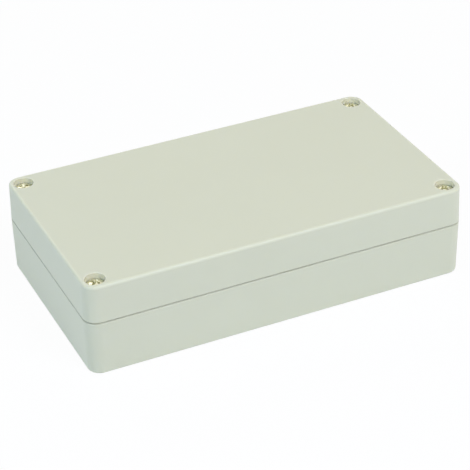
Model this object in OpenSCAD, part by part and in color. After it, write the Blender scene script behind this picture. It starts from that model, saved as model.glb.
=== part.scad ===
// Sealed project box: a moulded base and lid, closed by four captive screws
// that run into brass inserts, with a gasket in the lid's groove.
// The origin is the centre of the underside. +X runs along the length, +Z up.

/* [Box] */
// Length of the box at the seam
box_length = 160; // [130:1:240]
// Width of the box at the seam
box_width = 90; // [80:1:160]
// Height of the base, up to the seam
base_height = 23; // [18:0.5:80]
// Height of the lid above the seam
lid_height = 16; // [14:0.5:40]
// Radius of the upright corners at the seam
corner_radius = 5.5; // [4:0.1:9]
// How far each side leans in from the seam to the top or underside
draft = 0.3; // [0.1:0.1:1.2]
// Fillet round the top of the lid and the underside of the base
edge_fillet = 1; // [0.5:0.1:1.5]

/* [Walls] */
// Side wall of the base at the seam
wall = 3; // [2.6:0.1:4]
// Thickness of the floor
floor_thickness = 3; // [2:0.1:4]
// Thickness of the lid's top
top_thickness = 3; // [2:0.1:4]

/* [Seam] */
// Gap between the outer rims when the lid is screwed down
rim_gap = 0.2; // [0.1:0.05:0.4]
// Small chamfer along the outer edge of both rims
rim_chamfer = 0.35; // [0.2:0.05:0.6]

/* [Seal] */
// Lid material outside the gasket groove
outer_lip = 1.2; // [1:0.1:1.6]
// Lid material inside the gasket groove
inner_lip = 1; // [0.8:0.1:2]
// Width of the gasket groove
groove_width = 1.6; // [1.3:0.1:2]
// Depth of the gasket groove above the seam
groove_depth = 3; // [2.4:0.1:4]
// Thickness of the gasket when pressed
gasket_height = 1.4; // [0.8:0.1:1.6]
// Side clearance of the gasket in its groove
gasket_clearance = 0.1; // [0.05:0.05:0.2]
// Side clearance of the base's tongue in the groove
tongue_clearance = 0.2; // [0.1:0.05:0.3]
// Outer radius where the seal turns in beside a corner pocket
seal_radius = 4.5; // [4.2:0.1:7]

/* [Lid screws] */
// Distance of each lid screw from both outer sides
screw_inset = 6; // [5.8:0.1:7]
// Thread diameter
thread_diameter = 4; // [3:0.5:4]
// Length of thread, all of it held in the insert
thread_length = 6.6; // [5:0.1:9]
// Radial running clearance of the thread in the insert
thread_clearance = 0.05; // [0.02:0.01:0.1]
// Waisted neck that keeps the screw in the lid
neck_diameter = 3.1; // [2.4:0.1:3.2]
// Radial clearance round the neck
neck_clearance = 0.2; // [0.1:0.05:0.3]
// Radial clearance of the thread inside the lid
lid_bore_clearance = 0.3; // [0.2:0.05:0.5]
// Play left between thread and neck hole when the screw is fully raised
captive_play = 0.2; // [0.1:0.1:1]
// Diameter of the pan head
head_diameter = 7; // [6:0.1:7.6]
// Height of the pan head
head_height = 2.6; // [2:0.1:3]
// How far the head's edge lies below its crown
head_crown = 0.9; // [0.5:0.1:1.4]
// Depth of the head's crown below the lid's top
head_sink = 1.3; // [1:0.1:3]
// Radial clearance of the head in its recess
recess_clearance = 0.4; // [0.3:0.05:0.6]
// Rounding of the recess's mouth
recess_round = 0.35; // [0.1:0.05:0.4]
// Span of the cross recess in the head
cross_span = 4.2; // [3:0.1:4.6]
// Width of each slot of the cross
cross_width = 1.1; // [0.8:0.1:1.3]
// Depth of the cross recess
cross_depth = 1.5; // [1:0.1:1.8]

/* [Inserts] */
// Outer diameter of the brass insert
insert_diameter = 5.6; // [5:0.1:6]
// Length of the brass insert
insert_length = 8; // [7:0.1:10]
// Depth of the waist between the insert's two knurled bands
insert_waist = 0.3; // [0.2:0.05:0.5]
// Grooves round each knurled band
knurl_count = 16; // [10:1:24]
// Plastic round the insert and round the screw in the lid
boss_wall = 1.2; // [1:0.1:1.5]
// Free depth below the insert
insert_relief = 1.5; // [1:0.1:3]

/* [Corner pockets] */
// Width of each pocket from the inside of the end wall
pocket_width = 9; // [8:0.1:12]
// Length of each pocket from the inside of the long wall
pocket_length = 19; // [18:0.1:24]
// Radius of the pocket's inner corner
pocket_radius = 1.5; // [0.5:0.1:3]
// Diameter of the wall-mounting hole in each pocket
mount_hole_diameter = 4.5; // [3.5:0.1:5]
// Distance of the wall-mounting holes from the long outer sides
mount_hole_inset = 16; // [15.5:0.1:18]

/* [Board standoffs] */
// Spacing of the standoffs along the length
standoff_spacing_x = 114; // [90:1:118]
// Spacing of the standoffs across the width
standoff_spacing_y = 70; // [50:1:72]
// Diameter of a standoff at its top
standoff_diameter = 6; // [5:0.1:8]
// Height of a standoff above the floor
standoff_height = 5; // [3:0.5:10]
// Pilot hole for a self-tapping screw
pilot_diameter = 2.5; // [2:0.1:3]
// Depth of the pilot hole
pilot_depth = 5.5; // [4:0.1:6]
// Thickness of the gussets round a standoff's foot
gusset_thickness = 1; // [0.8:0.1:1.4]
// How far a gusset reaches out from the standoff
gusset_reach = 1.6; // [1:0.1:2]
// Height of a gusset
gusset_height = 3.5; // [2:0.1:4]

/* [Board guides] */
// Upright slots for boards along each long wall
guide_count = 5; // [1:2:5]
// Spacing of the slots
guide_spacing = 24; // [12:1:28]
// Width of a slot
guide_slot = 1.8; // [1.6:0.1:2.4]
// Thickness of the rib at each side of a slot
guide_rib = 1.2; // [1:0.1:1.6]
// How far the ribs stand out from the wall
guide_depth = 1.5; // [1:0.1:2]
// How far the ribs stop below the rim
guide_drop = 2; // [1:0.5:6]

/* [Hidden] */
$fn = 96;

plastic = [0.82, 0.83, 0.77];
rubber = [0.16, 0.16, 0.16];
steel = [0.74, 0.74, 0.71];
brass = [0.80, 0.66, 0.32];

// Overrun of a cut past the face that it opens
cut = 1;
// Heights above the underside
seam_z = base_height;
rim_z = seam_z - rim_gap;
top_z = seam_z + lid_height;
ceiling_z = top_z - top_thickness;
groove_top_z = seam_z + groove_depth;
tongue_top_z = groove_top_z - gasket_height;
head_seat_z = top_z - head_sink - head_height;
neck_hole_z = seam_z + thread_length + captive_play;
insert_z = seam_z - insert_length;
// Insets from the outer outline
groove_out = outer_lip;
groove_in = outer_lip + groove_width;
lid_wall = groove_in + inner_lip;
tongue_out = groove_out + tongue_clearance;
tongue_in = groove_in - tongue_clearance;
gasket_out = groove_out + gasket_clearance;
gasket_in = groove_in - gasket_clearance;
// Where the corner pockets end, from the outer sides
notch_x = wall + pocket_width;
notch_y = wall + pocket_length;
// Round the lid screws
recess_radius = head_diameter / 2 + recess_clearance;
boss_radius = insert_diameter / 2 + boss_wall;
recess_wall = 1.5;
recess_floor = 2;
core_top_z = head_seat_z - recess_floor;
pocket_floor_z = floor_thickness;
knurl_groove = 0.2;

// A rectangle centred on the origin, with its corners rounded
module rounded_rectangle(length, width, radius) {
    square([length - 2 * radius, width], center = true);
    square([length, width - 2 * radius], center = true);
    for (x = [-1, 1], y = [-1, 1])
        translate([x * (length / 2 - radius), y * (width / 2 - radius)]) circle(radius);
}

// The outline of the box at the seam, moved in by the inset
module box_outline(inset) {
    rounded_rectangle(box_length - 2 * inset, box_width - 2 * inset, corner_radius - inset);
}

// The seal's outline: it turns in at each corner, so that screws and mounting holes stay outside
module seal_outline(inset) {
    side_x = box_length / 2 - inset;
    side_y = box_width / 2 - inset;
    step_x = side_x - notch_x;
    step_y = side_y - notch_y;
    turn = pocket_radius + inset;
    rounded_rectangle(2 * side_x, 2 * step_y, seal_radius - inset);
    rounded_rectangle(2 * step_x, 2 * side_y, seal_radius - inset);
    for (x = [0, 1], y = [0, 1])
        mirror([x, 0]) mirror([0, y]) translate([step_x, step_y]) difference() {
            translate([-turn, -turn]) square(2 * turn);
            translate([turn, turn]) circle(turn);
        }
}

// A band of the seal's outline, between two insets
module seal_band(outer, inner) {
    difference() {
        seal_outline(outer);
        seal_outline(inner);
    }
}

// Half section of a shell's outside, from the axis of the corner radius outwards.
// Its wide, chamfered edge is the rim, at the given height.
module side_profile(rim_height) {
    foot = corner_radius - draft;
    polygon([
        [0, 0],
        [foot - edge_fillet, 0],
        [foot, edge_fillet],
        [corner_radius, rim_height - rim_chamfer],
        [corner_radius - rim_chamfer, rim_height],
        [0, rim_height]
    ]);
    translate([foot - edge_fillet, edge_fillet]) circle(edge_fillet);
}

// The shell's outside: the profile turned round the corners and drawn along the sides
module drafted_block(rim_height) {
    straight_x = box_length - 2 * corner_radius;
    straight_y = box_width - 2 * corner_radius;
    for (x = [-1, 1], y = [-1, 1])
        translate([x * straight_x / 2, y * straight_y / 2])
            rotate([0, 0, x > 0 ? (y > 0 ? 0 : -90) : (y > 0 ? 90 : 180)])
                rotate_extrude(angle = 90) side_profile(rim_height);
    for (side = [0, 180]) rotate([0, 0, side]) {
        translate([-straight_x / 2, straight_y / 2, 0]) rotate([90, 0, 90])
            linear_extrude(straight_x) side_profile(rim_height);
        translate([straight_x / 2, straight_y / 2, 0]) rotate([90, 0, 0])
            linear_extrude(straight_y) side_profile(rim_height);
    }
    translate([-straight_x / 2, -straight_y / 2, 0]) cube([straight_x, straight_y, rim_height]);
}

// Puts its children at one corner: side is -1 or 1 in X and in Y
module at_screw(x, y) {
    translate([x * (box_length / 2 - screw_inset), y * (box_width / 2 - screw_inset), 0])
        children();
}

module at_screws() {
    for (x = [-1, 1], y = [-1, 1]) at_screw(x, y) children();
}

module at_mount_holes() {
    hole_x = box_length / 2 - wall - pocket_width / 2;
    for (x = [-1, 1], y = [-1, 1])
        translate([x * hole_x, y * (box_width / 2 - mount_hole_inset), 0]) children();
}

module at_standoffs() {
    for (x = [-1, 0, 1], y = [-1, 1])
        translate([x * standoff_spacing_x / 2, y * standoff_spacing_y / 2, floor_thickness])
            children();
}

// Plan of the four corner pockets, cored out round the screw bosses
module pocket_plan() {
    difference() {
        box_outline(wall);
        seal_outline(0);
        at_screws() circle(boss_radius);
    }
}

// Standoff with a slight taper, braced to the floor by four gussets
module standoff() {
    top_radius = standoff_diameter / 2;
    foot_radius = top_radius + draft;
    cylinder(h = standoff_height, r1 = foot_radius, r2 = top_radius);
    for (turn = [0 : 90 : 270]) rotate([90, 0, turn])
        translate([0, 0, -gusset_thickness / 2]) linear_extrude(gusset_thickness) polygon([
            [0, -cut],
            [foot_radius + gusset_reach, -cut],
            [foot_radius + gusset_reach, 0],
            [top_radius, gusset_height],
            [0, gusset_height]
        ]);
}

// Pairs of ribs up the inside of both long walls, each pair with a slot for a board's edge
module board_guides() {
    guide_top_z = rim_z - guide_drop;
    pair_width = guide_slot + 2 * guide_rib;
    for (side = [0, 180], i = [0 : guide_count - 1]) rotate([0, 0, side])
        translate([
            (i - (guide_count - 1) / 2) * guide_spacing,
            box_width / 2 - wall - guide_depth,
            floor_thickness - cut
        ]) difference() {
            translate([-pair_width / 2, 0, 0])
                cube([pair_width, guide_depth + cut, guide_top_z - floor_thickness + cut]);
            translate([-guide_slot / 2, -cut, -cut])
                cube([guide_slot, guide_depth + cut, guide_top_z + 2 * cut]);
        }
}

module base() {
    color(plastic) difference() {
        union() {
            difference() {
                drafted_block(rim_z);
                translate([0, 0, floor_thickness]) linear_extrude(seam_z) seal_outline(wall);
                translate([0, 0, pocket_floor_z]) linear_extrude(seam_z) pocket_plan();
            }
            translate([0, 0, rim_z - cut]) linear_extrude(tongue_top_z - rim_z + cut)
                seal_band(tongue_out, tongue_in);
            at_screws() translate([0, 0, floor_thickness])
                cylinder(h = seam_z - floor_thickness, r = boss_radius);
            at_standoffs() standoff();
            board_guides();
        }
        at_screws() translate([0, 0, insert_z - insert_relief])
            cylinder(h = insert_length + insert_relief + cut, d = insert_diameter);
        at_mount_holes() translate([0, 0, -cut])
            cylinder(h = floor_thickness + 2 * cut, d = mount_hole_diameter);
        at_standoffs() translate([0, 0, standoff_height - pilot_depth])
            cylinder(h = pilot_depth + cut, d = pilot_diameter);
    }
}

// Rounds the mouth of a screw recess
module recess_mouth() {
    rotate_extrude() translate([recess_radius, top_z - recess_round]) difference() {
        translate([-recess_round, 0]) square([2 * recess_round, recess_round + cut]);
        translate([recess_round, 0]) circle(recess_round);
    }
}

module lid() {
    pillar_y = screw_inset + recess_radius + recess_wall;
    color(plastic) difference() {
        translate([0, 0, top_z]) mirror([0, 0, 1]) drafted_block(lid_height);
        translate([0, 0, seam_z - cut]) linear_extrude(ceiling_z - seam_z + cut)
            seal_outline(lid_wall);
        translate([0, 0, seam_z - cut]) linear_extrude(groove_depth + cut)
            seal_band(groove_out, groove_in);
        translate([0, 0, seam_z - cut]) linear_extrude(core_top_z - seam_z + cut) pocket_plan();
        translate([0, 0, seam_z - cut]) linear_extrude(ceiling_z - seam_z + cut) intersection() {
            pocket_plan();
            square([box_length, box_width - 2 * pillar_y], center = true);
        }
        at_screws() {
            translate([0, 0, head_seat_z]) cylinder(h = lid_height, r = recess_radius);
            recess_mouth();
            translate([0, 0, seam_z - cut])
                cylinder(h = lid_height, r = neck_diameter / 2 + neck_clearance);
            translate([0, 0, seam_z - cut]) cylinder(
                h = neck_hole_z - seam_z + cut,
                r = thread_diameter / 2 + lid_bore_clearance
            );
        }
    }
}

module gasket() {
    color(rubber) translate([0, 0, tongue_top_z]) linear_extrude(gasket_height)
        seal_band(gasket_out, gasket_in);
}

// Half section of the captive screw: crowned pan head, waisted neck and threaded end
module screw_profile() {
    head_r = head_diameter / 2;
    thread_r = thread_diameter / 2;
    tip = 0.5;
    crown_r = (head_r * head_r + head_crown * head_crown) / (2 * head_crown);
    tip_z = seam_z - thread_length;
    translate([0, head_seat_z]) intersection() {
        square([head_r, head_height]);
        translate([0, head_height - crown_r]) circle(crown_r);
    }
    translate([0, seam_z]) square([neck_diameter / 2, head_seat_z - seam_z]);
    polygon([
        [0, tip_z],
        [thread_r - tip, tip_z],
        [thread_r, tip_z + tip],
        [thread_r, seam_z],
        [0, seam_z]
    ]);
}

module screw(x, y) {
    crown_z = top_z - head_sink;
    color(steel) at_screw(x, y) difference() {
        rotate_extrude() screw_profile();
        for (turn = [0, 90]) rotate([0, 0, turn])
            translate([-cross_span / 2, -cross_width / 2, crown_z - cross_depth])
                cube([cross_span, cross_width, cross_depth + cut]);
    }
}

// Brass insert: two knurled bands with a waist between them, and a plain bore for the thread
module insert(x, y) {
    outer_r = insert_diameter / 2;
    band = insert_length * 0.4;
    color(brass) at_screw(x, y) translate([0, 0, insert_z]) difference() {
        union() {
            cylinder(h = insert_length, r = outer_r - insert_waist);
            cylinder(h = band, r = outer_r);
            translate([0, 0, insert_length - band]) cylinder(h = band, r = outer_r);
        }
        translate([0, 0, -cut])
            cylinder(h = insert_length + 2 * cut, r = thread_diameter / 2 + thread_clearance);
        for (i = [0 : knurl_count - 1]) rotate([0, 0, i * 360 / knurl_count])
            translate([outer_r, 0, -cut]) cylinder(h = insert_length + 2 * cut, r = knurl_groove);
    }
}

base();
lid();
gasket();
screw(-1, -1);  // screw_front_left
screw(1, -1);  // screw_front_right
screw(-1, 1);  // screw_back_left
screw(1, 1);  // screw_back_right
insert(-1, -1);  // insert_front_left
insert(1, -1);  // insert_front_right
insert(-1, 1);  // insert_back_left
insert(1, 1);  // insert_back_right
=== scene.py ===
import math

import bmesh
import bpy
from mathutils import Matrix, Vector


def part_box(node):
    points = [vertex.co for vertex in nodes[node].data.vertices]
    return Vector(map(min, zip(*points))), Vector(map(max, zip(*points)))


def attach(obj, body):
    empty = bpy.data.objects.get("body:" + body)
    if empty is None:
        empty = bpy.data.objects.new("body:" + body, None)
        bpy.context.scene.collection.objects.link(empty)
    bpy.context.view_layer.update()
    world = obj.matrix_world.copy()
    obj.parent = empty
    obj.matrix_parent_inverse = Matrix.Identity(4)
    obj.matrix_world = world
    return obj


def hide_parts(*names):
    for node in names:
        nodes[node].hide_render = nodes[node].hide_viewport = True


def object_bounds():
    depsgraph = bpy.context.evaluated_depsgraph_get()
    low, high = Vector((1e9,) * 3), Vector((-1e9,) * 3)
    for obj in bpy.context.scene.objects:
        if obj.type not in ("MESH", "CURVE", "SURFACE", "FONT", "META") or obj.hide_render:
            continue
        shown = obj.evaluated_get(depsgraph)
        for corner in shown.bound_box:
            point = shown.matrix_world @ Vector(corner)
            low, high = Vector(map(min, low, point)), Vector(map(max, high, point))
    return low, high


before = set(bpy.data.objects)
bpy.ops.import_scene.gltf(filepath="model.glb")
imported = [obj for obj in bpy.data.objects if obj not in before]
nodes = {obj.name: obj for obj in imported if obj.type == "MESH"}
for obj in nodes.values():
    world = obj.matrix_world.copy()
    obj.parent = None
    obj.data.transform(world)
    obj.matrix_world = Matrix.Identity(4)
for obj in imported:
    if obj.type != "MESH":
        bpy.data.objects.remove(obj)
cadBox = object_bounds()
mm = 0.001
corners = ["front_left", "front_right", "back_left", "back_right"]
print("frame loaded,", len(nodes), "nodes")

# Camera: azimuth, elevation and roll in degrees, distance and aim in metres
view = dict(azimuth=-24.35, elevation=32.03, roll=-1.5, distance=0.74135, aimUp=0.01266, lens=139.2)
sensorWidth = 36.0


def addCamera():
    azimuth, elevation, roll = (math.radians(view[k]) for k in ("azimuth", "elevation", "roll"))
    back = Vector((
        math.sin(azimuth) * math.cos(elevation),
        -math.cos(azimuth) * math.cos(elevation),
        math.sin(elevation),
    ))
    right = Vector((0, 0, 1)).cross(back).normalized()
    up = back.cross(right)
    right, up = right * math.cos(roll) + up * math.sin(roll), up * math.cos(roll) - right * math.sin(roll)
    eye = back * view["distance"] + up * view["aimUp"]
    data = bpy.data.cameras.new("camera")
    data.lens = view["lens"]
    data.sensor_width = sensorWidth
    data.clip_start = 0.01
    camera = bpy.data.objects.new("camera", data)
    camera.matrix_world = Matrix.Translation(eye) @ Matrix((right, up, back)).transposed().to_4x4()
    bpy.context.scene.collection.objects.link(camera)
    bpy.context.scene.camera = camera


# One value travelling between nodes, so that node maths reads as plain expressions
class Wire:
    def __init__(self, graph, socket):
        self.graph = graph
        self.socket = socket

    def math(self, operation, *values):
        return self.graph.node("ShaderNodeMath", dict(operation=operation), self, *values)

    def __add__(self, other):
        return self.math("ADD", other)

    def __radd__(self, other):
        return self.math("ADD", other)

    def __sub__(self, other):
        return self.math("SUBTRACT", other)

    def __rsub__(self, other):
        return self.graph.node("ShaderNodeMath", dict(operation="SUBTRACT"), other, self)

    def __mul__(self, other):
        return self.math("MULTIPLY", other)

    def __rmul__(self, other):
        return self.math("MULTIPLY", other)

    def __truediv__(self, other):
        return self.math("DIVIDE", other)

    def __rtruediv__(self, other):
        return self.graph.node("ShaderNodeMath", dict(operation="DIVIDE"), other, self)


# A node tree, for a material, the world or geometry
class Graph:
    def __init__(self, tree):
        self.tree = tree

    # Settings come first, then values or wires for the sockets, by order or by name.
    # Output picks which of the node's results is returned.
    def node(self, kind, settings=None, *ordered, output=0, **named):
        made = self.tree.nodes.new(kind)
        for key, value in (settings or {}).items():
            setattr(made, key, value)
        shown = [s for s in made.inputs if s.enabled]
        pairs = list(zip(shown, ordered))
        for key, value in named.items():
            label = key.replace("_", " ").lower()
            pairs.append((next(s for s in shown if s.name.lower() == label), value))
        for socket, value in pairs:
            if isinstance(value, Wire):
                self.tree.links.new(value.socket, socket)
            elif value is not None:
                socket.default_value = value
        given = [s for s in made.outputs if s.enabled]
        return Wire(self, given[output]) if given else made

    # Mixes two colours, plain or wired, by a wire
    def blend(self, factor, *colours):
        ends = [colour if isinstance(colour, Wire) else (*colour, 1) for colour in colours]
        return self.node("ShaderNodeMix", dict(data_type="RGBA"), factor, *ends)

    # Rises smoothly from 0 at low to 1 at high
    def ramp(self, value, low, high):
        settings = dict(interpolation_type="SMOOTHSTEP")
        return self.node("ShaderNodeMapRange", settings, value, low, high, 0.0, 1.0)

    # Noise whose features are about as wide as size, in metres, centred on 0.5
    def noise(self, place, size, detail=2.0, rough=0.5):
        sockets = dict(scale=1 / size, detail=detail, roughness=rough)
        return self.node("ShaderNodeTexNoise", None, vector=place, **sockets)


patternMiddle = 19.5 * mm  # half the height of the box


# Starts an empty node tree on a material or on the world
def emptyGraph(owner):
    owner.use_nodes = True
    owner.node_tree.nodes.clear()
    return Graph(owner.node_tree)


# A material whose patterns keep their place in the object
def newMaterial(name):
    material = bpy.data.materials.new(name)
    graph = emptyGraph(material)
    coordinates = graph.node("ShaderNodeTexCoord", None, output=3)
    place = graph.node("ShaderNodeMapping", None, vector=coordinates, location=(0, 0, -patternMiddle))
    return material, graph, place


# How far a place is from the box's middle, along X and along Y
def fromMiddle(graph, place):
    parts = [graph.node("ShaderNodeSeparateXYZ", None, place, output=i) for i in range(2)]
    return [part.math("ABSOLUTE") for part in parts]


# Distance from the nearest corner screw's axis, seen from above
cornerAxis = (74 * mm, 39 * mm)


def screwDistance(graph, place):
    across, along = (far - axis for far, axis in zip(fromMiddle(graph, place), cornerAxis))
    return (across * across + along * along).math("SQRT")


# Distance outside the rounded outline of the box at the seam, less than 0 inside it
def outlineDistance(graph, place):
    turns = (cadBox[1].x - shell["corner"], cadBox[1].y - shell["corner"])
    over = [(far - turn).math("MAXIMUM", 0.0) for far, turn in zip(fromMiddle(graph, place), turns)]
    return (over[0] * over[0] + over[1] * over[1]).math("SQRT") - shell["corner"]


def finishMaterial(graph, **sockets):
    shader = graph.node("ShaderNodeBsdfPrincipled", None, **sockets)
    graph.node("ShaderNodeOutputMaterial", None, surface=shader)


# Moulded plastic of both shells, with painted light in the screw recesses, painted shade at the seam and a
# painted highlight along the lid's top edge
shell = dict(
    light=(0.676, 0.694, 0.555), dark=(0.654, 0.671, 0.532),
    mottle=38 * mm, mottleTone=1.6, mottleRoughness=0.08,
    grain=0.35 * mm, grainTone=0.5, grainRoughness=0.10, grainHeight=0.004 * mm,
    wave=30 * mm, waveHeight=0.03 * mm,
    roughness=0.42, specular=0.45, glow=0.2, glowDepth=1.2 * mm, glowColour=(1.0, 0.9, 0.6),
    # the recess colour is painted light: the screw recess walls are painted lighter and warmer, as if lit by
    # light bouncing in
    recessRadius=4.3 * mm, recessFloor=35.0 * mm, recessRoughness=0.20, recessPaintedLight=(0.745, 0.745, 0.60),
    # the seam colour is painted shade: the dark tone times seamShade, in the outer seamReach of the seam
    corner=5.5 * mm, seam=23 * mm, seamReach=0.5 * mm, seamShade=0.80,
    # the edge tint is a painted highlight along the lid's rounded top edge
    edgeWidth=1.3 * mm, edgeDrop=1.0 * mm, edgeFade=0.4 * mm, edgeHighlight=1.05,
)


# 1 in the screw recesses, at the seam and along the lid's top edge, and 0 elsewhere: where the plastic gets
# painted light, painted shade and a painted highlight
def shellMasks(graph, place):
    level = graph.node("ShaderNodeSeparateXYZ", None, place, output=2) + patternMiddle
    outside = outlineDistance(graph, place)
    recess = screwDistance(graph, place).math("LESS_THAN", shell["recessRadius"])
    recess = recess * level.math("GREATER_THAN", shell["recessFloor"])
    # where the seam's painted shade goes
    seamShadeMask = (level - shell["seam"]).math("ABSOLUTE").math("LESS_THAN", shell["seamReach"])
    seamShadeMask = seamShadeMask * outside.math("GREATER_THAN", -shell["seamReach"])
    # where the painted highlight along the lid's top edge goes
    edgeFoot = cadBox[1].z - shell["edgeDrop"]
    edge = graph.ramp(outside, -shell["edgeWidth"] - shell["edgeFade"], -shell["edgeWidth"])
    edge = edge * graph.ramp(level, edgeFoot - shell["edgeFade"], edgeFoot)
    return recess, seamShadeMask, edge


def shellPlastic():
    material, graph, place = newMaterial("shellPlastic")
    mottle = graph.noise(place, shell["mottle"], detail=4, rough=0.55)
    grain = graph.noise(place, shell["grain"], detail=3, rough=0.6)
    wave = graph.noise(place, shell["wave"], detail=1)
    recess, seamShadeMask, edge = shellMasks(graph, place)
    tone = (mottle - 0.5) * shell["mottleTone"] + (grain - 0.5) * shell["grainTone"] + 0.5
    uneven = (grain - 0.5) * shell["grainRoughness"] + (mottle - 0.5) * shell["mottleRoughness"]
    smoother = recess * (shell["roughness"] - shell["recessRoughness"])
    height = (grain * shell["grainHeight"] + wave * shell["waveHeight"]) / mm
    # painted highlight along the lid's top edge
    edgeHighlightColour = [value * shell["edgeHighlight"] for value in shell["light"]]
    seamShadeColour = [value * shell["seamShade"] for value in shell["dark"]]
    colour = graph.blend(tone.math("MAXIMUM", 0.0), shell["dark"], shell["light"])
    colour = graph.blend(edge, colour, edgeHighlightColour)
    # painted light: the screw recess walls are painted lighter and warmer
    colour = graph.blend(recess, colour, shell["recessPaintedLight"])
    finishMaterial(
        graph,
        # painted shade at the seam
        base_color=graph.blend(seamShadeMask, colour, seamShadeColour),
        roughness=uneven + shell["roughness"] - smoother,
        specular_ior_level=shell["specular"],
        subsurface_weight=shell["glow"],
        subsurface_radius=shell["glowColour"],
        subsurface_scale=shell["glowDepth"],
        normal=graph.node("ShaderNodeBump", None, strength=1.0, distance=mm, height=height),
    )
    return material


# Dark seal rubber
rubber = dict(
    light=(0.034, 0.034, 0.036), dark=(0.018, 0.018, 0.019), roughness=0.62, specular=0.3,
    cloud=6 * mm, cloudRoughness=0.2, grain=0.25 * mm, grainRoughness=0.1, grainHeight=0.01 * mm,
)


def gasketRubber():
    material, graph, place = newMaterial("gasketRubber")
    cloud = graph.noise(place, rubber["cloud"], detail=3)
    grain = graph.noise(place, rubber["grain"], detail=2)
    uneven = (cloud - 0.5) * rubber["cloudRoughness"] + (grain - 0.5) * rubber["grainRoughness"]
    height = grain * (rubber["grainHeight"] / mm)
    finishMaterial(
        graph,
        base_color=graph.blend(cloud, rubber["dark"], rubber["light"]),
        roughness=uneven + rubber["roughness"],
        specular_ior_level=rubber["specular"],
        normal=graph.node("ShaderNodeBump", None, strength=1.0, distance=mm, height=height),
    )
    return material


# Turned metals, with faint rings round each corner's axis
metals = dict(
    screwSteel=dict(light=(0.78, 0.77, 0.60), dark=(0.50, 0.49, 0.34), roughness=0.31, ring=0.16 * mm),
    insertBrass=dict(light=(0.72, 0.53, 0.24), dark=(0.56, 0.39, 0.15), roughness=0.32, ring=0.12 * mm),
)
turning = dict(
    ringTone=0.2, ringRoughness=0.06, ringHeight=0.006 * mm,
    cloud=1.4 * mm, cloudTone=0.8, cloudRoughness=0.22, cloudHeight=0.012 * mm, bump=0.6,
)


def turnedMetal(name):
    look = metals[name]
    material, graph, place = newMaterial(name)
    rings = (screwDistance(graph, place) * (2 * math.pi / look["ring"])).math("SINE") * 0.5 + 0.5
    cloud = graph.noise(place, turning["cloud"], detail=4, rough=0.6)
    tone = cloud * turning["cloudTone"] + rings * turning["ringTone"]
    uneven = (cloud - 0.5) * turning["cloudRoughness"] + rings * turning["ringRoughness"]
    height = rings * (turning["ringHeight"] / mm) + cloud * (turning["cloudHeight"] / mm)
    finishMaterial(
        graph,
        base_color=graph.blend(tone, look["dark"], look["light"]),
        metallic=1.0,
        roughness=uneven + look["roughness"],
        normal=graph.node("ShaderNodeBump", None, strength=turning["bump"], distance=mm, height=height),
    )
    return material


# A geometry tree with named inputs; each input's default sets its kind
def newTree(name, **inputs):
    tree = bpy.data.node_groups.new(name, "GeometryNodeTree")
    kinds = {float: "NodeSocketFloat", int: "NodeSocketInt", tuple: "NodeSocketVector"}
    tree.interface.new_socket("Geometry", in_out="OUTPUT", socket_type="NodeSocketGeometry")
    tree.interface.new_socket("Geometry", in_out="INPUT", socket_type="NodeSocketGeometry")
    for label, start in inputs.items():
        kind = kinds.get(type(start), "NodeSocketMaterial")
        socket = tree.interface.new_socket(label, in_out="INPUT", socket_type=kind)
        if start is not None:
            socket.default_value = start
    graph = Graph(tree)
    entry = tree.nodes.new("NodeGroupInput")
    return graph, {s.name: Wire(graph, s) for s in entry.outputs if s.name}


def endTree(graph, geometry, finish):
    solid = graph.node("GeometryNodeRealizeInstances", None, geometry)
    painted = graph.node("GeometryNodeSetMaterial", None, geometry=solid, material=finish)
    graph.node("NodeGroupOutput", None, painted)
    return graph.tree


# Runs a tree on a mesh or curve and returns the result as a plain mesh object
def grow(name, source, tree, **values):
    modifier = source.modifiers.new("tree", "NODES")
    modifier.node_group = tree
    for item in tree.interface.items_tree:
        if item.in_out == "INPUT" and item.name in values:
            modifier[item.identifier] = values[item.name]
    return plainMesh(name, source)


sharpAngle = 32  # degrees; edges that turn more than this stay sharp


# The evaluated shape of an object as a mesh with no modifiers
def plainMesh(name, source):
    evaluated = source.evaluated_get(bpy.context.evaluated_depsgraph_get())
    mesh = bpy.data.meshes.new_from_object(evaluated)
    source.modifiers.clear()
    mesh.name = name
    mesh.shade_smooth()
    mesh.set_sharp_from_angle(angle=math.radians(sharpAngle))
    return addObject(name, mesh)


def addObject(name, data):
    made = bpy.data.objects.new(name, data)
    bpy.context.scene.collection.objects.link(made)
    return made


# Makes an object of a finished shape and lets the shape go
def fromShape(name, shape):
    mesh = bpy.data.meshes.new(name)
    shape.to_mesh(mesh)
    shape.free()
    return addObject(name, mesh)


# Turns a half profile of (radius, height) points round Z; a closed profile makes a ring
def turned(name, profile, segments, closed=False):
    shape = bmesh.new()
    rings = []
    for radius, height in profile:
        if radius == 0:  # on the axis, where the ring is one point
            rings.append([shape.verts.new((0, 0, height))] * segments)
            continue
        angles = [2 * math.pi * i / segments for i in range(segments)]
        rings.append([shape.verts.new((radius * math.cos(a), radius * math.sin(a), height)) for a in angles])
    steps = list(zip(rings, rings[1:] + rings[:1])) if closed else list(zip(rings, rings[1:]))
    for upper, lower in steps:
        for i in range(segments):
            j = (i + 1) % segments
            face = list(dict.fromkeys((upper[i], upper[j], lower[j], lower[i])))
            if len(face) > 2:
                shape.faces.new(face)
    bmesh.ops.recalc_face_normals(shape, faces=shape.faces)
    return fromShape(name, shape)


# Heights from one level to another in steps no larger than given
def levels(start, end, step):
    count = math.ceil(abs(end - start) / step)
    return [start + (end - start) * i / count for i in range(count + 1)]


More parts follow.
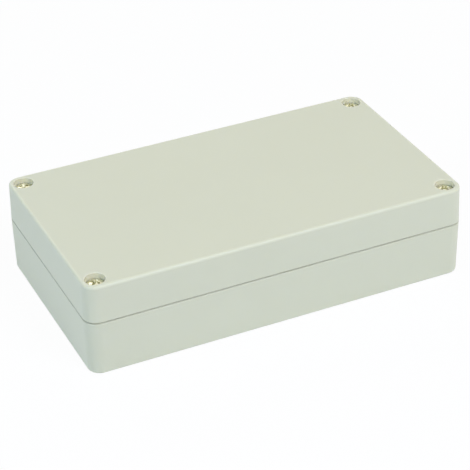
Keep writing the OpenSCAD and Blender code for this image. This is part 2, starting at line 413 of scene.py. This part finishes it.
# Offsets the wall between two radii in ridges: Teeth of them round the axis, or a helix if Rise is given
def ridgesTree():
    graph, given = newTree(
        "ridges", Depth=0.0, Teeth=1.0, Rise=0.0, Inside=0.0, Outside=1.0, Bottom=0.0, Top=1.0, Fade=0.001,
    )
    place = graph.node("GeometryNodeInputPosition")
    x, y, z = (graph.node("ShaderNodeSeparateXYZ", None, place, output=i) for i in range(3))
    radius = (x * x + y * y).math("SQRT")
    turn = y.math("ARCTAN2", x) / (2 * math.pi)
    phase = (turn * given["Teeth"] + z * given["Rise"]).math("FRACT")
    ridge = (phase - 0.5).math("ABSOLUTE") * 2
    inRadius = radius.math("GREATER_THAN", given["Inside"]) * radius.math("LESS_THAN", given["Outside"])
    fromEnds = (z - given["Bottom"]).math("MINIMUM", given["Top"] - z) / given["Fade"]
    amount = fromEnds.math("MAXIMUM", 0.0).math("MINIMUM", 1.0) * ridge * inRadius * given["Depth"]
    level = graph.node("ShaderNodeCombineXYZ", None, x, y, 0.0)
    outward = graph.node("ShaderNodeVectorMath", dict(operation="NORMALIZE"), level)
    offset = graph.node("ShaderNodeVectorMath", dict(operation="SCALE"), vector=outward, scale=amount)
    ridged = graph.node("GeometryNodeSetPosition", None, geometry=given["Geometry"], offset=offset)
    graph.node("NodeGroupOutput", None, ridged)
    return graph.tree


# Cuts a thread and a knurl with the ridges tree, then sets the part at its corner
def cornerPartTree(ridges):
    graph, given = newTree(
        "cornerPart", Corner=(0.0, 0.0, 0.0), Turn=(0.0, 0.0, 0.0), Pitch=0.7 * mm, ThreadDepth=0.0,
        ThreadInside=0.0, ThreadOutside=1.0, KnurlDepth=0.0, KnurlInside=1.0, Teeth=16.0,
        Bottom=0.0, Top=0.0, Finish=None,
    )
    tree = dict(node_tree=ridges)
    threaded = graph.node(
        "GeometryNodeGroup", tree, given["Geometry"], Depth=given["ThreadDepth"], Rise=-1 / given["Pitch"],
        Inside=given["ThreadInside"], Outside=given["ThreadOutside"],
        Bottom=given["Bottom"], Top=given["Top"],
    )
    knurled = graph.node(
        "GeometryNodeGroup", tree, threaded, Depth=given["KnurlDepth"], Teeth=given["Teeth"],
        Inside=given["KnurlInside"], Bottom=given["Bottom"], Top=given["Top"],
    )
    single = graph.node("GeometryNodeGeometryToInstance", None, knurled)
    spun = graph.node("GeometryNodeRotateInstances", None, instances=single, rotation=given["Turn"])
    placed = graph.node(
        "GeometryNodeTranslateInstances", None,
        instances=spun, translation=given["Corner"], local_space=False,
    )
    return endTree(graph, placed, given["Finish"])


# Captive pan-head screw; its length, height and head come from the frame
screwLow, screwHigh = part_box("screw_front_left")
screw = dict(
    headRadius=(screwHigh.x - screwLow.x) / 2, crownTop=screwHigh.z, crownDrop=0.9 * mm, crownSteps=14,
    edgeRound=0.28 * mm, edgeShare=0.8, edgeSteps=4, seat=screwHigh.z - 2.6 * mm, seatBevel=0.12 * mm,
    neckRadius=1.55 * mm, neckFillet=0.25 * mm, neckHollow=0.07 * mm,
    threadRadius=2.0 * mm, threadTop=23.0 * mm, threadRunOut=0.6, threadMargin=0.2 * mm,
    tip=screwLow.z, tipChamfer=0.5 * mm,
    pitch=0.7 * mm, pitchSteps=8, threadDepth=0.24 * mm, segments=64,
    crossSpan=4.2 * mm, crossFoot=2.3 * mm, crossWidth=1.1 * mm, crossFootWidth=0.75 * mm,
    crossDepth=1.5 * mm, cutAbove=0.5 * mm,
    coneRadius=1.05 * mm, coneFlare=1.3, coneDrop=0.35 * mm, coneFoot=0.2 * mm, coneTip=0.1 * mm,
    coneSegments=24, turns=dict(front_left=45, front_right=15, back_left=75, back_right=15),
)


def screwProfile():
    edge, drop, rounding = screw["headRadius"], screw["crownDrop"], screw["edgeRound"]
    crownRadius = (edge * edge + drop * drop) / (2 * drop)
    profile = []
    for i in range(screw["crownSteps"] + 1):
        radius = (edge - rounding * screw["edgeShare"]) * i / screw["crownSteps"]
        fall = crownRadius - math.sqrt(crownRadius * crownRadius - radius * radius)
        profile.append((radius, screw["crownTop"] - fall))
    lastRadius, lastHeight = profile[-1]
    for i in range(1, screw["edgeSteps"] + 1):
        angle = math.pi / 2 * i / screw["edgeSteps"]
        sideways = math.sin(angle) * (edge - lastRadius)
        profile.append((lastRadius + sideways, lastHeight - rounding * (1 - math.cos(angle))))
    seat, bevel = screw["seat"], screw["seatBevel"]
    profile += [(edge, seat + bevel), (edge - bevel, seat)]
    neck, fillet, hollow = screw["neckRadius"], screw["neckFillet"], screw["neckHollow"]
    profile += [(neck + fillet, seat), (neck + hollow, seat - hollow)]
    profile += [(neck, seat - fillet), (neck, screw["threadTop"])]
    thread = screw["threadRadius"]
    start = screw["threadTop"] - (thread - neck) * screw["threadRunOut"]
    bottom = screw["tip"] + screw["tipChamfer"]
    profile += [(thread, h) for h in levels(start, bottom, screw["pitch"] / screw["pitchSteps"])]
    profile += [(thread - screw["tipChamfer"], screw["tip"]), (0, screw["tip"])]
    return profile


# One slot of the cross: a bar that narrows towards its foot
def crossWing(turn):
    shape = bmesh.new()
    top, foot = screw["crownTop"] + screw["cutAbove"], screw["crownTop"] - screw["crossDepth"]
    widen = 1 + screw["cutAbove"] / screw["crossDepth"]
    spans = (screw["crossFoot"], screw["crossFoot"] + (screw["crossSpan"] - screw["crossFoot"]) * widen)
    widths = (
        screw["crossFootWidth"],
        screw["crossFootWidth"] + (screw["crossWidth"] - screw["crossFootWidth"]) * widen,
    )
    for height, span, width in zip((foot, top), spans, widths):
        for x in (-0.5, 0.5):
            for y in (-0.5, 0.5):
                shape.verts.new((x * span, y * width, height))
    bmesh.ops.convex_hull(shape, input=shape.verts)
    bmesh.ops.recalc_face_normals(shape, faces=shape.faces)
    bmesh.ops.rotate(shape, verts=shape.verts, matrix=Matrix.Rotation(turn, 3, "Z"))
    return fromShape("crossWing", shape)


# The round middle of the cross, where the slots meet
def crossCone():
    top = screw["crownTop"] + screw["cutAbove"]
    foot = screw["crownTop"] - screw["crossDepth"] - screw["coneDrop"]
    profile = [(0, top), (screw["coneRadius"] * screw["coneFlare"], top)]
    profile += [(screw["coneFoot"], foot), (0, foot - screw["coneTip"])]
    return turned("crossCone", profile, screw["coneSegments"])


def addScrews(tree, finish):
    blank = turned("screwBlank", screwProfile(), screw["segments"])
    cone = crossCone()
    cutters = [crossWing(0), crossWing(math.pi / 2), cone]
    for cutter in cutters:
        cut = blank.modifiers.new("cross", "BOOLEAN")
        cut.operation = "DIFFERENCE"
        cut.solver = "EXACT"
        cut.object = cutter
    master = plainMesh("screwMaster", blank)
    for corner in corners:
        low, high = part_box("screw_" + corner)
        axis = (low + high) / 2
        made = grow(
            "screw_detail_" + corner, master, tree,
            Corner=(axis.x, axis.y, 0.0), Turn=(0.0, 0.0, math.radians(screw["turns"][corner])),
            Pitch=screw["pitch"], ThreadDepth=-screw["threadDepth"],
            ThreadInside=screw["neckRadius"] + screw["threadMargin"],
            ThreadOutside=screw["threadRadius"] + screw["threadMargin"],
            Bottom=screw["tip"], Top=screw["threadTop"], Finish=finish,
        )
        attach(made, "screw_" + corner)
        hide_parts("screw_" + corner)
    for spare in (*cutters, blank, master):
        bpy.data.objects.remove(spare)
    print("screws done")


# Knurled brass insert, one in each boss
insert = dict(
    radius=2.8 * mm, waistRadius=2.5 * mm, boreRadius=2.05 * mm, foot=15.0 * mm, length=8.0 * mm,
    band=3.2 * mm, bandStep=0.9 * mm, chamfer=0.15 * mm,
    threadDepth=0.2 * mm, threadInside=1.95 * mm, threadOutside=2.1 * mm, pitch=0.7 * mm, pitchSteps=8,
    knurlDepth=0.18 * mm, knurlInside=2.7 * mm, teeth=16.0, segments=64,
)


def insertProfile():
    outer, waist, bore, chamfer = (insert[k] for k in ("radius", "waistRadius", "boreRadius", "chamfer"))
    bottom, top, band = insert["foot"], insert["foot"] + insert["length"], insert["band"]
    turnStep, bandStep = insert["pitch"] / insert["pitchSteps"], insert["bandStep"]
    profile = [(bore, h) for h in levels(bottom + chamfer, top - chamfer, turnStep)]
    profile += [(bore + chamfer, top), (outer - chamfer, top)]
    profile += [(outer, h) for h in levels(top - chamfer, top - band + chamfer, bandStep)]
    profile += [(waist, top - band), (waist, bottom + band)]
    profile += [(outer, h) for h in levels(bottom + band - chamfer, bottom + chamfer, bandStep)]
    profile += [(outer - chamfer, bottom), (bore + chamfer, bottom)]
    return profile


def addInserts(tree, finish):
    blank = turned("insertBlank", insertProfile(), insert["segments"], closed=True)
    for corner in corners:
        low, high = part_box("insert_" + corner)
        axis = (low + high) / 2
        made = grow(
            "insert_detail_" + corner, blank, tree,
            Corner=(axis.x, axis.y, 0.0), Pitch=insert["pitch"], ThreadDepth=insert["threadDepth"],
            ThreadInside=insert["threadInside"], ThreadOutside=insert["threadOutside"],
            KnurlDepth=-insert["knurlDepth"], KnurlInside=insert["knurlInside"],
            Teeth=insert["teeth"], Bottom=insert["foot"],
            Top=insert["foot"] + insert["length"], Finish=finish,
        )
        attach(made, "base")
        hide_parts("insert_" + corner)
    bpy.data.objects.remove(blank)
    print("inserts done")


# Rubber ring in the lid's groove, pressed nearly square
gasket = dict(
    sideX=78 * mm, sideY=43 * mm, stepX=66 * mm, stepY=21 * mm, outerTurn=2.5 * mm, innerTurn=3.5 * mm,
    width=1.4 * mm, height=1.4 * mm, rounding=0.42 * mm, roundingSteps=5, middle=25.3 * mm, arcSteps=8,
)


def arc(centreX, centreY, radius, start, end):
    count = gasket["arcSteps"]
    angles = [math.radians(start + (end - start) * i / count) for i in range(count + 1)]
    return [(centreX + radius * math.cos(a), centreY + radius * math.sin(a)) for a in angles]


def gasketPath():
    outer, inner = gasket["outerTurn"], gasket["innerTurn"]
    quarter = [
        *arc(gasket["sideX"] - outer, gasket["stepY"] - outer, outer, 0, 90),
        *arc(gasket["stepX"] + inner, gasket["stepY"] + inner, inner, 270, 180),
        *arc(gasket["stepX"] - outer, gasket["sideY"] - outer, outer, 0, 90),
    ]
    half = quarter + [(-x, y) for x, y in reversed(quarter)]
    return half + [(-x, -y) for x, y in half]


# Sweeps a rounded rectangle along the curve
def cordTree():
    graph, given = newTree("cord", Width=mm, Height=mm, Rounding=0.2 * mm, Finish=None)
    sides = graph.node(
        "GeometryNodeCurvePrimitiveQuadrilateral", None, width=given["Width"], height=given["Height"],
    )
    profile = graph.node(
        "GeometryNodeFilletCurve", dict(mode="POLY"),
        curve=sides, count=gasket["roundingSteps"], radius=given["Rounding"],
    )
    swept = graph.node("GeometryNodeCurveToMesh", None, curve=given["Geometry"], profile_curve=profile)
    return endTree(graph, swept, given["Finish"])


def addGasket(finish):
    data = bpy.data.curves.new("gasketPath", "CURVE")
    data.dimensions = "3D"
    path = gasketPath()
    line = data.splines.new("POLY")
    line.points.add(len(path) - 1)
    for point, (x, y) in zip(line.points, path):
        point.co = (x, y, gasket["middle"], 1)
    line.use_cyclic_u = True
    curve = addObject("gasketPath", data)
    made = grow(
        "gasket_cord", curve, cordTree(), Width=gasket["width"], Height=gasket["height"],
        Rounding=gasket["rounding"], Finish=finish,
    )
    bpy.data.objects.remove(curve)
    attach(made, "lid")
    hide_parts("gasket")
    print("gasket done")


# Round marks that the mould's ejector pins leave inside both shells
ejector = dict(
    radius=2.5 * mm, proud=0.12 * mm, sunk=0.05 * mm, edge=0.05 * mm, segments=40,
    countX=4, countY=2, spacingX=38 * mm, spacingY=32 * mm, floorTop=3.0 * mm, ceiling=36.0 * mm,
)


# Repeats the mark on a grid
def markGridTree():
    graph, given = newTree(
        "markGrid", SizeX=0.1, SizeY=0.05, CountX=4, CountY=2, Height=0.0, Finish=None,
    )
    grid = graph.node(
        "GeometryNodeMeshGrid", None, given["SizeX"], given["SizeY"], given["CountX"], given["CountY"],
    )
    marks = graph.node("GeometryNodeInstanceOnPoints", None, points=grid, instance=given["Geometry"])
    rise = graph.node("ShaderNodeCombineXYZ", None, 0.0, 0.0, given["Height"])
    raised = graph.node("GeometryNodeTranslateInstances", None, instances=marks, translation=rise)
    return endTree(graph, raised, given["Finish"])


def addEjectorMarks(finish):
    tree = markGridTree()
    radius, proud, sunk, edge = (ejector[k] for k in ("radius", "proud", "sunk", "edge"))
    sizeX = ejector["spacingX"] * (ejector["countX"] - 1)
    sizeY = ejector["spacingY"] * (ejector["countY"] - 1)
    walls = dict(base=(ejector["floorTop"], 1), lid=(ejector["ceiling"], -1))
    for body, (height, side) in walls.items():
        profile = [(0, proud), (radius - edge, proud), (radius, proud - edge), (radius, -sunk), (0, -sunk)]
        mark = turned("mark", [(r, h * side) for r, h in profile], ejector["segments"])
        made = grow(
            "ejector_marks_" + body, mark, tree,
            SizeX=sizeX, SizeY=sizeY, CountX=ejector["countX"], CountY=ejector["countY"],
            Height=height, Finish=finish,
        )
        bpy.data.objects.remove(mark)
        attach(made, body)
    print("ejector marks done")


# White floor; an opening where the box stands lets its underside be lit and seen from below
floor = dict(
    reach=6.0, level=-0.1 * mm, paper=(0.90, 0.95, 1.0), cameraShare=0.95,
    openX=78.6 * mm, openY=43.6 * mm, openRadius=4.2 * mm,
)

# Soft round lamps, all aimed at one place in the box; sizes and places in metres
lampAim = (0, 0, 0.02)
lamps = dict(
    overhead=dict(place=(0.15, -0.15, 1.3), size=1.4, watts=1.82, colour=(1.0, 0.9, 0.7)),
    frontHigh=dict(place=(0.45, -1.1, 1.1), size=0.8, watts=13.96, colour=(0.9, 0.9, 1.0)),
    leftHigh=dict(place=(-1.15, 0.0, 0.8), size=0.7, watts=6.86, colour=(0.67, 0.82, 1.0)),
    rightFill=dict(place=(1.4, -0.3, 0.5), size=0.9, watts=1.52, colour=(1.0, 0.99, 0.98)),
    backHigh=dict(place=(0.5, 1.2, 0.8), size=1.0, watts=1.98, colour=(1.0, 0.91, 0.71)),
    backLeft=dict(place=(-0.2, 1.05, 0.82), size=0.35, watts=1.67, colour=(1.0, 0.97, 0.87)),
    glint=dict(place=(-0.35, -0.9, 1.3), size=0.12, watts=2.62, colour=(0.93, 0.96, 1.0)),
    beneath=dict(place=(0.1, -0.2, -1.1), size=1.2, watts=6.0, colour=(1.0, 1.0, 0.97)),
)
ambient = dict(colour=(0.96, 1.0, 0.98), strength=0.173)


# 1 for camera, glossy and transmission rays, which see the plain white background
def backgroundRays(graph):
    rays = [graph.node("ShaderNodeLightPath", None, output=i) for i in (0, 3, 6)]
    return (rays[0] + rays[1] + rays[2]).math("MINIMUM", 1.0)


def addWorld():
    scene = bpy.context.scene
    scene.view_settings.view_transform = "Standard"
    world = bpy.data.worlds.new("studio")
    scene.world = world
    graph = emptyGraph(world)
    soft = graph.node("ShaderNodeBackground", None, (*ambient["colour"], 1), ambient["strength"])
    white = graph.node("ShaderNodeBackground", None, (1, 1, 1, 1), 1.0)
    shown = graph.node("ShaderNodeMixShader", None, backgroundRays(graph), soft, white)
    graph.node("ShaderNodeOutputWorld", None, surface=shown)


# Paper that glows white where it is seen, and is clear from below
def floorPaper():
    material = bpy.data.materials.new("floorPaper")
    graph = emptyGraph(material)
    paper = graph.node("ShaderNodeBsdfDiffuse", None, (*floor["paper"], 1))
    glow = graph.node("ShaderNodeEmission", None, (1, 1, 1, 1), 1.0)
    seen = graph.node("ShaderNodeMixShader", None, backgroundRays(graph) * floor["cameraShare"], paper, glow)
    below = graph.node("ShaderNodeNewGeometry", None, output=6)
    clear = graph.node("ShaderNodeBsdfTransparent", None, (1, 1, 1, 1))
    both = graph.node("ShaderNodeMixShader", None, below, seen, clear)
    graph.node("ShaderNodeOutputMaterial", None, surface=both)
    return material


def addFloor():
    reach, radius, level = floor["reach"], floor["openRadius"], floor["level"]
    turnX, turnY = floor["openX"] - radius, floor["openY"] - radius
    inner, outer = [], []
    for start, sideX, sideY in ((180, -1, -1), (270, 1, -1), (0, 1, 1), (90, -1, 1)):
        corner = arc(sideX * turnX, sideY * turnY, radius, start, start + 90)
        inner += [(x, y, level) for x, y in corner]
        outer += [(x + sideX * reach, y + sideY * reach, level) for x, y in corner]
    count = len(inner)
    steps = [(i, (i + 1) % count) for i in range(count)]
    mesh = bpy.data.meshes.new("floor")
    mesh.from_pydata(outer + inner, [], [(i, j, j + count, i + count) for i, j in steps])
    mesh.materials.append(floorPaper())
    addObject("floor", mesh)


def addLamps():
    for name, lamp in lamps.items():
        data = bpy.data.lights.new(name, "AREA")
        data.shape = "DISK"
        data.size = lamp["size"]
        data.energy = lamp["watts"]
        data.color = lamp["colour"]
        place = Vector(lamp["place"])
        aim = (place - Vector(lampAim)).to_track_quat("Z", "Y").to_matrix().to_4x4()
        addObject(name, data).matrix_world = Matrix.Translation(place) @ aim


def addStudio():
    addWorld()
    addFloor()
    addLamps()
    print("studio done")


def paintNodes(finish, *names):
    for name in names:
        for socket in nodes[name].material_slots:
            socket.material = finish


addCamera()
addStudio()
plastic = shellPlastic()
paintNodes(plastic, "base", "lid")
cornerPart = cornerPartTree(ridgesTree())
addScrews(cornerPart, turnedMetal("screwSteel"))
addInserts(cornerPart, turnedMetal("insertBrass"))
addGasket(gasketRubber())
addEjectorMarks(plastic)
